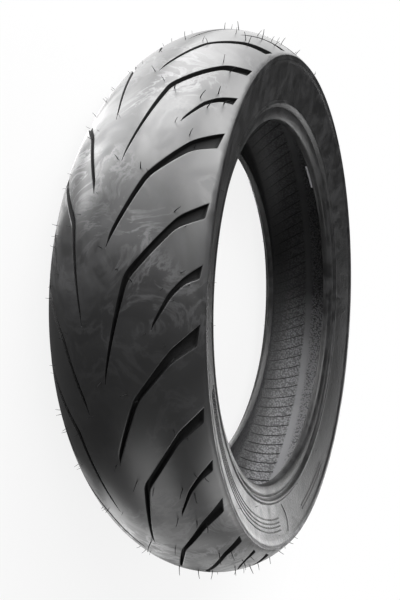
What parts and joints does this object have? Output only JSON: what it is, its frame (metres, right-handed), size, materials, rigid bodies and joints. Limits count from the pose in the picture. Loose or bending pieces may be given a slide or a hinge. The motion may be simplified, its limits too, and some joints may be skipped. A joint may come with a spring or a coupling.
{
  "type": "motorcycle tyre",
  "caption": "Rear motorcycle tyre with a rounded crown, swept directional tread grooves, plain sidewalls, a raised rim line and beads that seat on a wheel rim.",
  "frame": {"origin": "the wheel's centre: on the axis, midway between the beads", "axes": "+Z along the wheel's axis, towards the sidewall that the picture shows; -Y towards the picture's camera; the tyre lies on its lower side"},
  "size_m": [0.6212, 0.6212, 0.151],
  "materials": {
    "rubber": "satin moulded tread, matt sidewalls"
  },
  "bodies": {
    "root": {"tyre": "rubber"}
  },
  "joints": []
}
